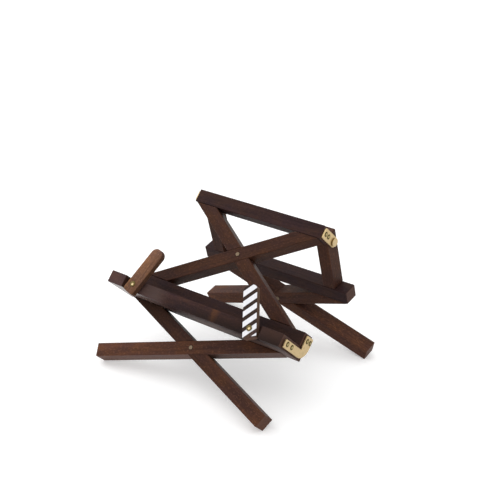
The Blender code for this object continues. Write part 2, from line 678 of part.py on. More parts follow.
def main():
    clear_scene()
    rail_wood = material("rail_wood", (0.105, 0.068, 0.060), 0.50)
    leg_wood = material("leg_wood", (0.120, 0.058, 0.045), 0.50)
    arm_wood = material("arm_wood", (0.300, 0.185, 0.135), 0.55)
    striped = material("striped_wood", (0.130, 0.085, 0.070), 0.50)
    dowel_wood = material("dowel_wood", (0.480, 0.330, 0.200), 0.60)
    brass = material("brass", (0.620, 0.480, 0.230), 0.32, 1.0)
    looks = (rail_wood, leg_wood, brass, dowel_wood)

    front_height = (LEDGE_HEIGHT + LEG_RISE + FOOT_DROP) * math.cos(FRONT_LEAN)
    front_height += LEDGE_DEPTH * math.sin(FRONT_LEAN)
    root = empty("stand_root", None, (0.0, 0.0, 0.0))
    front = empty("front_frame", root, (0.0, 0.0, front_height), -FRONT_LEAN)
    make_front_frame(front, looks)
    make_arm("page_arm_left", -1, LEFT_ARM_LEAN, LEFT_ARM_CORNER, arm_wood, front)
    make_arm("page_arm_right", 1, RIGHT_ARM_LEAN, RIGHT_ARM_CORNER, striped, front)

    tilt = Euler((-FRONT_LEAN, 0.0, 0.0)).to_matrix()
    hinge = tilt @ Vector((0.0, HINGE_DEPTH, HINGE_HEIGHT))
    hinge.z += front_height
    rear = empty("rear_frame", root, hinge, REAR_LEAN)
    make_rear_frame(rear, rear_leg_drop(hinge.z), looks)
    settle(root)


main()
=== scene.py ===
"""Looks of the folding reading stand: oiled dark hardwood, a striped page arm and brushed brass.

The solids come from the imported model. This file gives each of them its material, and adds the floor,
the lamps and the camera. Lengths of the scene are in metres. Patterns are worked out in millimetres.
"""
import math

import bpy
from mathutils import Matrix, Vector


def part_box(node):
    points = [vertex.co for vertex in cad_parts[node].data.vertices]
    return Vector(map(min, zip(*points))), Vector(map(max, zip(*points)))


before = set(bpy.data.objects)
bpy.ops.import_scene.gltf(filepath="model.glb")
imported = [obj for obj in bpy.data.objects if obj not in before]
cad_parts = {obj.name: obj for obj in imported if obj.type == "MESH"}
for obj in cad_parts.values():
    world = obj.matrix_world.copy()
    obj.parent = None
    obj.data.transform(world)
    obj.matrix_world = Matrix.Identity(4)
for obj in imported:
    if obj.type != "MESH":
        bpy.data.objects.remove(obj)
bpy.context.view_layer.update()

MM_PER_METRE = 1000.0
FRONT_LEAN = math.radians(42.5)
REAR_LEAN = math.radians(15.9)
LEG_SLOPE = math.radians(19.8)
BACK_SLOPE = math.radians(32.14)
LEFT_ARM_LEAN = math.radians(16.0)
RIGHT_ARM_LEAN = math.radians(-27.0)

X = Vector((1.0, 0.0, 0.0))
FRONT_DEPTH = Vector((0.0, math.cos(FRONT_LEAN), -math.sin(FRONT_LEAN)))
FRONT_UP = Vector((0.0, math.sin(FRONT_LEAN), math.cos(FRONT_LEAN)))
REAR_DEPTH = Vector((0.0, math.cos(REAR_LEAN), math.sin(REAR_LEAN)))
REAR_UP = Vector((0.0, -math.sin(REAR_LEAN), math.cos(REAR_LEAN)))


def slanted_axes(up, depth, slope, toward):
    """Length, side and depth of a bar that rises toward the right (1) or the left (-1)."""
    along = X * toward * math.cos(slope) + up * math.sin(slope)
    side = up * math.cos(slope) - X * toward * math.sin(slope)
    return along, side, depth


def arm_axes(lean):
    """Length, side and depth of a page arm that leans to the right."""
    along = X * math.sin(lean) + FRONT_UP * math.cos(lean)
    side = X * math.cos(lean) - FRONT_UP * math.sin(lean)
    return along, side, FRONT_DEPTH


def center(node):
    """Middle of a node's box."""
    low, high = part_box(node)
    return (Vector(low) + Vector(high)) / 2


def level(direction, point):
    """How far a point lies along a direction, in millimetres."""
    return direction.dot(point) * MM_PER_METRE


# The ledge's size and places, in millimetres
LEDGE_DEPTH = 38.1
FRONT_FACE = level(FRONT_DEPTH, center("ledge")) - LEDGE_DEPTH / 2
LEDGE_MIDDLE = level(FRONT_UP, center("ledge"))


def scaled(color, factor):
    return tuple(channel * factor for channel in color)


def opaque(color):
    return (*color, 1.0)


# Worn edges are found where the rounded normal and the plain one grow unlike
EDGE_SAMPLES = 4
EDGE_LIKENESS_SPAN = (0.995, 0.90)


class Graph:
    """The nodes of a material or a world, made by short calls."""

    def __init__(self, owner):
        owner.use_nodes = True
        self.owner = owner
        self.tree = owner.node_tree

    def put(self, socket, value):
        """Sets a socket to a number or colour, or links it to another socket."""
        if isinstance(value, bpy.types.NodeSocket):
            self.tree.links.new(value, socket)
        else:
            socket.default_value = value

    def node(self, kind, *values, **settings):
        """Makes a node, sets its options, and fills its inputs in order. None leaves an input alone."""
        made = self.tree.nodes.new(kind)
        for key, value in settings.items():
            setattr(made, key, value)
        for socket, value in zip(made.inputs, values):
            if value is not None:
                self.put(socket, value)
        return made

    def math(self, operation, *values):
        return self.node("ShaderNodeMath", *values, operation=operation).outputs[0]

    def times(self, first, second):
        return self.math("MULTIPLY", first, second)

    def fit(self, value, factor, start):
        """The value times a factor, plus a start."""
        return self.math("MULTIPLY_ADD", value, factor, start)

    def vector(self, operation, *values):
        made = self.node("ShaderNodeVectorMath", *values, operation=operation)
        return made.outputs["Value" if operation in ("DOT_PRODUCT", "LENGTH", "DISTANCE") else "Vector"]

    def scale(self, vector, factor):
        return self.vector("SCALE", vector, None, None, factor)

    def combine(self, a, b, c):
        return self.node("ShaderNodeCombineXYZ", a, b, c).outputs[0]

    def noise(self, where, kind):
        """Noise of a kind, which holds its scale, detail and roughness."""
        made = self.node("ShaderNodeTexNoise")
        self.put(made.inputs["Vector"], where)
        for name, value in zip(("Scale", "Detail", "Roughness"), kind):
            made.inputs[name].default_value = value
        return made.outputs["Fac"]

    def spread(self, value, span, onto=(0.0, 1.0)):
        """Maps a span of values onto another, held at its ends."""
        return self.node("ShaderNodeMapRange", value, *span, *onto, clamp=True).outputs[0]

    def ramp(self, value, stops):
        """Colours by value. Each stop is a place on the ramp and its colour."""
        made = self.node("ShaderNodeValToRGB", value)
        elements = made.color_ramp.elements
        while len(elements) < len(stops):
            elements.new(0.5)
        for element, (place, color) in zip(elements, stops):
            element.position = place
            element.color = opaque(color)
        return made.outputs["Color"]

    def mix(self, share, first, second):
        """Mixes a share of the second colour into the first."""
        made = self.node("ShaderNodeMix", data_type="RGBA")
        colors = [socket for socket in made.inputs if socket.type == "RGBA"]
        self.put(made.inputs["Factor"], share)
        self.put(colors[0], first)
        self.put(colors[1], second)
        return [socket for socket in made.outputs if socket.type == "RGBA"][0]

    def place(self):
        """The point on the piece, in metres."""
        return self.node("ShaderNodeTexCoord").outputs["Object"]

    def place_mm(self):
        """The point on the piece, in millimetres."""
        return self.scale(self.place(), MM_PER_METRE)

    def distance(self, direction, start=0.0):
        """How far the point lies along a direction, in millimetres from a start."""
        found = self.vector("DOT_PRODUCT", self.place(), tuple(direction * MM_PER_METRE))
        return self.math("SUBTRACT", found, start) if start else found

    def facing(self, direction):
        """One where the surface faces a direction, minus one where it faces away from it."""
        normal = self.node("ShaderNodeTexCoord").outputs["Normal"]
        return self.vector("DOT_PRODUCT", normal, tuple(direction))

    def bump(self, height, strength, distance):
        made = self.node("ShaderNodeBump")
        made.inputs["Strength"].default_value = strength
        made.inputs["Distance"].default_value = distance
        self.put(made.inputs["Height"], height)
        return made.outputs["Normal"]

    def edge(self, radius):
        """One along the piece's edges, zero on its flat faces."""
        soft = self.node("ShaderNodeBevel", samples=EDGE_SAMPLES)
        soft.inputs["Radius"].default_value = radius
        plain = self.node("ShaderNodeNewGeometry").outputs["Normal"]
        return self.spread(self.vector("DOT_PRODUCT", soft.outputs["Normal"], plain), EDGE_LIKENESS_SPAN)

    def seen_directly(self):
        """One for camera, glossy and transmission rays."""
        path = self.node("ShaderNodeLightPath").outputs
        seen = self.math("MAXIMUM", path["Is Camera Ray"], path["Is Glossy Ray"])
        return self.math("MAXIMUM", seen, path["Is Transmission Ray"])


def new_surface(name):
    """The graph of a new material, and its shader."""
    graph = Graph(bpy.data.materials.new(name))
    return graph, graph.tree.nodes["Principled BSDF"]


def dress(node, graph):
    """Gives a node the graph's material in every slot."""
    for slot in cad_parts[node].material_slots:
        slot.material = graph.owner


# Growth rings, in millimetres, about a heart beside the piece, whose place differs with the seed
SEED_STEP = 97.0
RING_WIDTH = 2.6
RING_WANDER = 9.0
RING_CURVE = ((0.0, 0.55), (0.35, 0.70), (0.86, 0.22), (1.0, 0.50))
HEART_SIDE = 26.0
HEART_SIDE_TURN = 2.3
HEART_DEPTH = 34.0
HEART_DEPTH_SWING = 9.0
HEART_DEPTH_TURN = 1.7

# Grain patterns: their pace along the grain, where 1 is the pace across it, and their noises
BROAD_PACE = 0.10
FIBRE_PACE = 0.05
PORE_PACE = 0.22
FLECK_PACE = 0.55
WANDER_SHIFT = (31.0, 17.0, 5.0)
FLECK_SHIFT = (7.0, 3.0, 11.0)
HUE_SHIFT = (53.0, 29.0, 41.0)
BROAD_NOISE = (0.11, 2.0, 0.5)
WANDER_NOISE = (0.16, 2.0, 0.45)
FIBRE_NOISE = (1.9, 4.0, 0.65)
PORE_NOISE = (3.2, 1.0, 0.4)
FLECK_NOISE = (0.85, 2.0, 0.6)
HUE_NOISE = (0.10, 3.0, 0.62)

# Grain colours: shares of the patterns, and factors of the wood's colour
RING_SHARE = 0.22
FIBRE_SHARE = 0.36
BROAD_SHARE = 0.46
GRAIN_TONES = ((0.36, 0.64), (0.50, 0.92), (0.60, 1.10), (0.74, 1.38))
PORE_SPAN = (0.58, 0.70)
PORE_SHARE = 0.50
PORE_TONE = 0.38
FLECK_SPAN = (0.54, 0.66)
OCHRE_TONES = (1.9, 1.9, 1.8)
OCHRE_LIFTS = (0.015, 0.009, 0.005)
HUE_SPAN = (0.38, 0.62)
HUE_TONES = ((0.84, 1.12), (0.87, 1.09), (1.05, 0.92))


def ring_brightness(graph, radius):
    """Brightness across the growth rings: a slow rise, and a dark late band."""
    across = graph.math("FRACT", graph.math("DIVIDE", radius, RING_WIDTH))
    made = graph.node("ShaderNodeFloatCurve", None, across)
    points = made.mapping.curves[0].points
    points[0].location = RING_CURVE[0]
    points[1].location = RING_CURVE[-1]
    for place, height in RING_CURVE[1:-1]:
        points.new(place, height)
    made.mapping.update()
    return made.outputs[0]


def wood_pattern(graph, node, axes, seed, color, light_drift, flecks):
    """Grain of one piece: growth rings about its length, fibres, pores, flecks and broad colour drift.

    light_drift holds the colour's factor at the piece's low and high end, a painted falloff of light along
    the piece. The function returns the fibres, the pores and the colour.
    """
    along, side, depth = axes
    middle = center(node)
    length = graph.math("ADD", graph.distance(along), SEED_STEP * seed)
    width = graph.distance(side)
    thick = graph.distance(depth)

    def stretched(pace):
        """The point, for a pattern that is drawn out along the grain."""
        return graph.combine(graph.times(length, pace), width, thick)

    slow = stretched(BROAD_PACE)
    broad = graph.noise(slow, BROAD_NOISE)
    wander = graph.noise(graph.vector("ADD", slow, WANDER_SHIFT), WANDER_NOISE)
    heart_side = level(side, middle) + HEART_SIDE * math.cos(HEART_SIDE_TURN * seed)
    heart_depth = level(depth, middle) + HEART_DEPTH + HEART_DEPTH_SWING * math.sin(HEART_DEPTH_TURN * seed)
    off_side = graph.math("SUBTRACT", width, heart_side)
    off_depth = graph.math("SUBTRACT", thick, heart_depth)
    radius = graph.vector("LENGTH", graph.combine(off_side, off_depth, 0.0))
    ring = ring_brightness(graph, graph.fit(wander, RING_WANDER, radius))

    fibre = graph.noise(stretched(FIBRE_PACE), FIBRE_NOISE)
    pore = graph.spread(graph.noise(stretched(PORE_PACE), PORE_NOISE), PORE_SPAN)
    near = stretched(FLECK_PACE)
    fleck = graph.spread(graph.noise(graph.vector("ADD", near, FLECK_SHIFT), FLECK_NOISE), FLECK_SPAN)
    hue = graph.noise(graph.vector("ADD", near, HUE_SHIFT), HUE_NOISE)

    value = graph.times(ring, RING_SHARE)
    value = graph.fit(fibre, FIBRE_SHARE, value)
    value = graph.fit(broad, BROAD_SHARE, value)
    body = graph.ramp(value, [(place, scaled(color, factor)) for place, factor in GRAIN_TONES])
    ochre = tuple(channel * factor + lift for channel, factor, lift in zip(color, OCHRE_TONES, OCHRE_LIFTS))
    body = graph.mix(graph.times(fleck, flecks), body, opaque(ochre))
    body = graph.mix(graph.times(pore, PORE_SHARE), body, opaque(scaled(color, PORE_TONE)))

    low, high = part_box(node)
    half = (Vector(high) - Vector(low)).length * MM_PER_METRE / 2
    start = level(along, middle) + SEED_STEP * seed
    # Painted light: the colour grows lighter or darker along the piece as the light falls off.
    painted_light_drift = graph.spread(length, (start - half, start + half), light_drift)
    tint = graph.combine(*(graph.spread(hue, HUE_SPAN, onto) for onto in HUE_TONES))
    return fibre, pore, graph.vector("MULTIPLY", body, graph.scale(tint, painted_light_drift))


# Finish of the wood: end grain, painted floor light on the undersides, rubbed edges, sheen and relief
END_GRAIN_SPAN = (0.80, 0.97)
END_GRAIN_SHARE = 0.42
END_GRAIN = (0.125, 0.060, 0.042)
FLOOR_LIGHT_SHARE = 0.32
FLOOR_LIGHT_COLOR = (0.210, 0.135, 0.118)
RUB_RADIUS = 0.0007
RUB_SPAN = (0.35, 0.65)
RUB_RANGE = (0.3, 1.0)
RUB_SHARE = 0.55
WOOD_SPECULAR = 0.075
WOOD_ROUGHNESS = 0.40
FIBRE_ROUGHNESS = 0.20
PORE_ROUGHNESS = 0.12
POLISH_ROUGHNESS = -0.28
FIBRE_RELIEF = 0.6
POLISH_RELIEF = -0.95
WOOD_BUMP = 0.35
WOOD_BUMP_HEIGHT = 0.00012


def finish_wood(graph, shader, along, fibre, pore, body, wear, pale=None, polish=None):
    """Adds the finish, and returns the colour.

    pale and polish are functions: pale gives the share of pale light from the floor that is painted on the
    surface, and polish the share of polished wood.
    """
    end_grain = graph.spread(graph.math("ABSOLUTE", graph.facing(along)), END_GRAIN_SPAN)
    body = graph.mix(graph.times(end_grain, END_GRAIN_SHARE), body, opaque(END_GRAIN))
    # Painted light: a pale sheen where the white floor lights the undersides.
    if pale is not None:
        body = graph.mix(graph.times(pale(graph), FLOOR_LIGHT_SHARE), body, opaque(FLOOR_LIGHT_COLOR))
    rubbed = graph.times(graph.edge(RUB_RADIUS), graph.spread(fibre, RUB_SPAN, RUB_RANGE))
    body = graph.mix(graph.times(rubbed, RUB_SHARE), body, opaque(wear))
    roughness = graph.fit(fibre, FIBRE_ROUGHNESS, WOOD_ROUGHNESS)
    roughness = graph.fit(pore, PORE_ROUGHNESS, roughness)
    relief = graph.math("SUBTRACT", graph.times(fibre, FIBRE_RELIEF), pore)
    if polish is not None:
        polished = polish(graph)
        roughness = graph.fit(polished, POLISH_ROUGHNESS, roughness)
        relief = graph.times(relief, graph.fit(polished, POLISH_RELIEF, 1.0))
    shader.inputs["Specular IOR Level"].default_value = WOOD_SPECULAR
    graph.put(shader.inputs["Roughness"], roughness)
    graph.put(shader.inputs["Normal"], graph.bump(relief, WOOD_BUMP, WOOD_BUMP_HEIGHT))
    return body


EVEN_LIGHT_DRIFT = (1.0, 1.0)
WOOD_FLECKS = 0.52
WOOD_WEAR = 1.8


def wood(node, axes, seed, color, light_drift=EVEN_LIGHT_DRIFT, flecks=WOOD_FLECKS, wear=WOOD_WEAR, marks_and_shade=None, **finish):
    """Dresses a node in wood.

    marks_and_shade is a function that adds the piece's own marks and its painted shade to its colour. finish
    may hold the functions pale and polish of finish_wood.
    """
    graph, shader = new_surface(node + "_wood")
    fibre, pore, body = wood_pattern(graph, node, axes, seed, color, light_drift, flecks)
    if marks_and_shade is not None:
        body = marks_and_shade(graph, body)
    body = finish_wood(graph, shader, axes[0], fibre, pore, body, scaled(color, wear), **finish)
    graph.put(shader.inputs["Base Color"], body)
    dress(node, graph)


# Underside of the front frame: where the floor's light is painted on it as a pale sheen, and where it is
# polished, in millimetres
UNDERSIDE_SPAN = (-0.55, -0.85)
FLOOR_LIGHT_LEFT_SPAN = (-46.0, -58.0)
FLOOR_LIGHT_LEFT_RANGE = (0.10, 1.7)
FLOOR_LIGHT_RIGHT_SPAN = (-20.0, -4.0)
FLOOR_LIGHT_RIGHT_RANGE = (0.10, 1.1)
FLOOR_LIGHT_INWARD_SPAN = (FRONT_FACE + 6.0, FRONT_FACE + 26.0)
FLOOR_LIGHT_INWARD_RANGE = (0.0, 1.5)
POLISHED_SPAN = (-44.0, -60.0)


def underside(graph):
    """One on the faces that look down along the front frame."""
    return graph.spread(graph.facing(FRONT_UP), UNDERSIDE_SPAN)


def ledge_pale(graph):
    """Painted floor light under the ledge, a pale sheen: none at its front edge, most beside the left arm."""
    length = graph.distance(X)
    left = graph.spread(length, FLOOR_LIGHT_LEFT_SPAN, FLOOR_LIGHT_LEFT_RANGE)
    right = graph.spread(length, FLOOR_LIGHT_RIGHT_SPAN, FLOOR_LIGHT_RIGHT_RANGE)
    inward = graph.spread(graph.distance(FRONT_DEPTH), FLOOR_LIGHT_INWARD_SPAN, FLOOR_LIGHT_INWARD_RANGE)
    return graph.times(underside(graph), graph.times(inward, graph.math("MAXIMUM", left, right)))


def ledge_polish(graph):
    """Polished wood under the ledge, beside the left arm."""
    return graph.times(underside(graph), graph.spread(graph.distance(X), POLISHED_SPAN))


# Marks along the ledge, its painted sheen and its painted shade, in millimetres
RAGGED_NOISE = (0.35, 3.0, 0.6)
RAGGED_WIDTH = 7.0
BAND_PLACE = 23.8
BAND_SPAN = (5.0, 0.8)
BAND_RAGGED_SPAN = (0.30, 0.62)
BAND_RAGGED_RANGE = (0.35, 1.0)
BAND_SHARE = 0.64
BAND_COLOR = (0.105, 0.041, 0.017)
SHEEN_PATCH_LEFT_SPAN = (-62.0, -50.0)
SHEEN_PATCH_RIGHT_SPAN = (-24.0, -38.0)
SHEEN_PATCH_SHARE = 0.60
SHEEN_PATCH_COLOR = (0.079, 0.053, 0.048)
RIGHT_BLOCK_SPAN = (68.0, 75.0)
RIGHT_BLOCK_RANGE = (0.0, 0.35)
RIGHT_BLOCK_COLOR = (0.075, 0.038, 0.027)
LEFT_BLOCK_SPAN = (-66.0, -72.0)
LEFT_BLOCK_RANGE = (0.0, 0.14)
LEFT_BLOCK_COLOR = (0.120, 0.085, 0.080)
LOWER_EDGE_SPAN = (-4.5, 4.5)
LOWER_EDGE_RANGE = (-0.55, 0.10)
LOWER_EDGE_START_SPAN = (-34.0, -14.0)
RECESS_FACING_SPAN = (0.80, 0.95)
RECESS_END_SPAN = (86.0, 84.0)
RECESS_SHADE = -0.85


def ledge_marks_and_shading(graph, body):
    """An orange-brown band, a painted grey sheen by the left arm, lighter end blocks, and painted shade
    toward the front's lower edge and on the recess's end faces.
    """
    ragged = graph.noise(graph.place_mm(), RAGGED_NOISE)
    length = graph.fit(ragged, RAGGED_WIDTH, graph.distance(X))
    away = graph.math("ABSOLUTE", graph.math("SUBTRACT", length, BAND_PLACE))
    band = graph.spread(ragged, BAND_RAGGED_SPAN, BAND_RAGGED_RANGE)
    band = graph.times(graph.spread(away, BAND_SPAN), band)
    body = graph.mix(graph.times(band, BAND_SHARE), body, opaque(BAND_COLOR))
    # Painted reflection: a grey-purple sheen on the front beside the left arm.
    sheen_patch = graph.times(graph.spread(length, SHEEN_PATCH_LEFT_SPAN), graph.spread(length, SHEEN_PATCH_RIGHT_SPAN))
    body = graph.mix(graph.times(sheen_patch, SHEEN_PATCH_SHARE), body, opaque(SHEEN_PATCH_COLOR))
    right_block = graph.spread(length, RIGHT_BLOCK_SPAN, RIGHT_BLOCK_RANGE)
    body = graph.mix(right_block, body, opaque(RIGHT_BLOCK_COLOR))
    left_block = graph.spread(length, LEFT_BLOCK_SPAN, LEFT_BLOCK_RANGE)
    body = graph.mix(left_block, body, opaque(LEFT_BLOCK_COLOR))

    # Painted shade: the front darkens toward its lower edge, except near the left arm, and the recess's end
    # faces beside the arms are darkened.
    by_height = graph.spread(graph.distance(FRONT_UP, LEDGE_MIDDLE), LOWER_EDGE_SPAN, LOWER_EDGE_RANGE)
    shade = graph.fit(by_height, graph.spread(length, LOWER_EDGE_START_SPAN), 1.0)
    sideways = graph.spread(graph.math("ABSOLUTE", graph.facing(X)), RECESS_FACING_SPAN)
    inside = graph.spread(graph.math("ABSOLUTE", graph.distance(X)), RECESS_END_SPAN)
    recess_shade = graph.fit(graph.times(sideways, inside), RECESS_SHADE, 1.0)
    return graph.scale(body, graph.times(shade, recess_shade))


# Painted shade on the left arm, in millimetres from its front face and from its middle line
ARM_SIDE_SPAN = (0.15, 0.60)
ARM_SIDE_RANGE = (1.0, 0.68)
ARM_ACROSS_SPAN = (-5.0, 6.0)
ARM_ACROSS_RANGE = (1.16, 0.76)


def painted_arm_shade(graph, body):
    """Painted shade: the arm's sides are darker than its front face, and its front darkens a little to the
    right.
    """
    side = arm_axes(LEFT_ARM_LEAN)[1]
    deep = graph.distance(FRONT_DEPTH, FRONT_FACE)
    across = graph.distance(side, level(side, center("arm_washer_left")))
    by_depth = graph.spread(deep, ARM_SIDE_SPAN, ARM_SIDE_RANGE)
    by_side = graph.spread(across, ARM_ACROSS_SPAN, ARM_ACROSS_RANGE)
    return graph.scale(body, graph.times(by_depth, by_side))


# Painted stripes of the right arm, in millimetres from its screw
STRIPE_SLOPE = 0.508
STRIPES = ((29.53, 34.42), (21.02, 25.92), (12.72, 17.42), (4.24, 8.95), (-4.0, 0.5))
TAIL_STRIPE = (-12.3, -7.55)
TAIL_SIDE_SPAN = (1.8, 2.1)
TAIL_END_SPAN = (-6.95, -6.7)
STRIPE_SOFTNESS = 0.12
STRIPE_RAGGEDNESS = 0.34
STRIPE_NOISE = (0.7, 2.0, 0.5)
PAINT_DEPTH_SPAN = (0.34, 0.22)
WORN_NOISE = (1.4, 3.0, 0.6)
WORN_SPAN = (0.66, 0.74)
WORN_SHADE = -0.35
PAINT_FIBRE_SPAN = (0.3, 0.7)
PAINT_DARK = (0.74, 0.74, 0.78)
PAINT_LIGHT = (0.86, 0.86, 0.89)

# Wood of the right arm
ARM_FRONT_SPAN = (0.50, 0.20)
BLACKENED_SPAN = (-4.6, -3.8)
BLACKENED_SHARE = 0.80
BLACKENED_COLOR = (0.026, 0.0155, 0.0125)
STRIPED_SIDE_SHARE = 0.55
STRIPED_SIDE_COLOR = (0.115, 0.062, 0.036)
STRIPED_FLECKS = 0.3
STRIPED_WEAR = 1.6


def stripe(graph, height, low, high):
    """One between two heights, with slightly soft edges."""
    rise = graph.spread(height, (low - STRIPE_SOFTNESS, low + STRIPE_SOFTNESS))
    fall = graph.spread(height, (high + STRIPE_SOFTNESS, high - STRIPE_SOFTNESS))
    return graph.times(rise, fall)


def painted_stripes(graph, height, across, up, deep):
    """One on the painted stripes. The last one, below the screw, is cut off at its side and end."""
    painted = stripe(graph, height, *TAIL_STRIPE)
    painted = graph.times(painted, graph.spread(across, TAIL_SIDE_SPAN))
    painted = graph.times(painted, graph.spread(up, TAIL_END_SPAN))
    for low, high in STRIPES:
        painted = graph.math("MAXIMUM", painted, stripe(graph, height, low, high))
    painted = graph.times(painted, graph.spread(deep, PAINT_DEPTH_SPAN))
    worn = graph.spread(graph.noise(graph.place_mm(), WORN_NOISE), WORN_SPAN)
    return graph.times(painted, graph.fit(worn, WORN_SHADE, 1.0))


def striped_arm(node, axes, seed, color):
    """The page arm with white slanting stripes painted on its front face."""
    graph, shader = new_surface(node + "_striped")
    along, side, depth = axes
    fibre, pore, body = wood_pattern(graph, node, axes, seed, color, EVEN_LIGHT_DRIFT, STRIPED_FLECKS)
    pivot = center("arm_washer_right")
    across = graph.distance(side, level(side, pivot))
    up = graph.distance(along, level(along, pivot))
    deep = graph.distance(depth, FRONT_FACE)
    ragged = graph.noise(graph.place_mm(), STRIPE_NOISE)
    height = graph.fit(across, -STRIPE_SLOPE, up)
    height = graph.math("ADD", height, graph.fit(ragged, STRIPE_RAGGEDNESS, -STRIPE_RAGGEDNESS / 2))

    front = graph.spread(deep, ARM_FRONT_SPAN)
    blackened = graph.times(front, graph.spread(height, BLACKENED_SPAN))
    body = graph.mix(graph.times(blackened, BLACKENED_SHARE), body, opaque(BLACKENED_COLOR))
    off_front = graph.math("SUBTRACT", 1.0, front)
    body = graph.mix(graph.times(off_front, STRIPED_SIDE_SHARE), body, opaque(STRIPED_SIDE_COLOR))
    body = finish_wood(graph, shader, along, fibre, pore, body, scaled(color, STRIPED_WEAR))
    paint = graph.mix(graph.spread(fibre, PAINT_FIBRE_SPAN), opaque(PAINT_DARK), opaque(PAINT_LIGHT))
    painted = painted_stripes(graph, height, across, up, deep)
    graph.put(shader.inputs["Base Color"], graph.mix(painted, body, paint))
    dress(node, graph)


# Brushed brass. The brushing has its own pace along each axis, and the rings' softness is in millimetres.
BRUSH_PACES = (0.6, 0.35, 6.0)
BRUSHED_NOISE = (1.6, 3.0, 0.6)
CLOUDY_NOISE = (0.28, 3.0, 0.55)
FINE_NOISE = (5.0, 2.0, 0.6)
BRUSHED_SHARE = 0.4
CLOUDY_SHARE = 0.6
BRASS_TONES = ((0.32, 0.80), (0.50, 1.0), (0.68, 1.14))
DULL_SPAN = (0.54, 0.74)
DULL_RANGE = (0.0, 0.30)
TARNISH_AND_PAINTED_DARK_COLOR = (0.085, 0.065, 0.014)
DULL_ROUGHNESS = 0.25
CLOUDY_ROUGHNESS = 0.22
RING_DARKNESS = 0.92
RING_SOFT_BEFORE = 0.35
RING_SOFT_AFTER = 0.1
RING_SOFT_OUTSIDE = 0.45
FINE_RELIEF = 0.5
BRASS_BUMP = 0.20
BRASS_BUMP_HEIGHT = 0.00006
BRASS_ROUGHNESS = 0.36


def nearest(graph, spots, axes):
    """Distance in millimetres to the nearest of some spots, seen along the direction that axes leave out."""
    first, second = axes
    flat = graph.combine(graph.distance(first), graph.distance(second), 0.0)
    away = None
    for spot in spots:
        one = graph.vector("DISTANCE", flat, (level(first, spot), level(second, spot), 0.0))
        away = one if away is None else graph.math("MINIMUM", away, one)
    return away


def dirt_and_painted_light_ring(graph, spots, axes, inner, outer):
    """One in the dark band round each spot, between an inner and an outer radius: dirt and painted contact
    shadow round the rivets on the plates, a painted dark reflection on the domed rivet and screw heads.
    """
    away = nearest(graph, spots, axes)
    rise = graph.spread(away, (inner - RING_SOFT_BEFORE, inner + RING_SOFT_AFTER))
    fall = graph.spread(away, (outer + RING_SOFT_OUTSIDE, outer))
    return graph.times(rise, fall)


def brass(name, nodes, color, roughness=BRASS_ROUGHNESS, ring=None):
    """Brushed brass with fine scratches. ring holds the spots, axes and radii of its dark rings of dirt and
    painted light.
    """
    graph, shader = new_surface(name)
    point = graph.place_mm()
    brushed = graph.noise(graph.vector("MULTIPLY", point, BRUSH_PACES), BRUSHED_NOISE)
    cloudy = graph.noise(point, CLOUDY_NOISE)
    fine = graph.noise(point, FINE_NOISE)
    value = graph.fit(cloudy, CLOUDY_SHARE, graph.times(brushed, BRUSHED_SHARE))
    body = graph.ramp(value, [(place, scaled(color, factor)) for place, factor in BRASS_TONES])
    tarnish_and_painted_rings = graph.spread(cloudy, DULL_SPAN, DULL_RANGE)
    # Dark rings round the spots: dirt and painted shadow on the plates, painted dark reflection on the domed
    # heads.
    if ring is not None:
        tarnish_and_painted_rings = graph.math("MAXIMUM", tarnish_and_painted_rings, graph.times(dirt_and_painted_light_ring(graph, *ring), RING_DARKNESS))
    graph.put(shader.inputs["Base Color"], graph.mix(tarnish_and_painted_rings, body, opaque(TARNISH_AND_PAINTED_DARK_COLOR)))
    polish = graph.fit(cloudy, CLOUDY_ROUGHNESS, roughness - CLOUDY_ROUGHNESS / 2)
    graph.put(shader.inputs["Roughness"], graph.fit(tarnish_and_painted_rings, DULL_ROUGHNESS, polish))
    shader.inputs["Metallic"].default_value = 1.0
    relief = graph.fit(fine, FINE_RELIEF, brushed)
    graph.put(shader.inputs["Normal"], graph.bump(relief, BRASS_BUMP, BRASS_BUMP_HEIGHT))
    for node in nodes:
        dress(node, graph)


# Colours of the woods, and their factors at each piece's low and high end, which paint light falling off
# along the piece
RAIL = (0.028, 0.0125, 0.0112)
LEG = (0.050, 0.0195, 0.0115)
ARM = (0.182, 0.086, 0.049)
STRIPED = (0.070, 0.040, 0.031)
DOWEL = (0.480, 0.330, 0.200)
RAIL_FLECKS = 0.24
LEDGE_LIGHT_DRIFT = (2.15, 0.58)
BACK_RAIL_LIGHT_DRIFT = (1.30, 0.95)
FAR_RAIL_LIGHT_DRIFT = (1.25, 1.10)
LEFT_LEG_LIGHT_DRIFT = (1.90, 0.90)
RIGHT_LEG_LIGHT_DRIFT = (1.60, 0.30)
REAR_LEG_LIGHT_DRIFT = (1.60, 1.0)
LEFT_ARM_LIGHT_DRIFT = (0.72, 1.08)
LEFT_ARM_WEAR = 1.2


def make_rails():
    """The ledge and the three rails. Each piece's seed gives it a grain of its own."""
    front = (X, FRONT_UP, FRONT_DEPTH)
    rear = (X, REAR_UP, REAR_DEPTH)
    wood("ledge", front, seed=1, color=RAIL, light_drift=LEDGE_LIGHT_DRIFT, flecks=RAIL_FLECKS,
         marks_and_shade=ledge_marks_and_shading, pale=ledge_pale, polish=ledge_polish)
    wood("back_rail", front, seed=2, color=RAIL, light_drift=BACK_RAIL_LIGHT_DRIFT, flecks=RAIL_FLECKS)
    wood("top_rail", front, seed=3, color=RAIL, light_drift=FAR_RAIL_LIGHT_DRIFT, flecks=RAIL_FLECKS)
    wood("rear_rail", rear, seed=4, color=RAIL, light_drift=FAR_RAIL_LIGHT_DRIFT, flecks=RAIL_FLECKS)


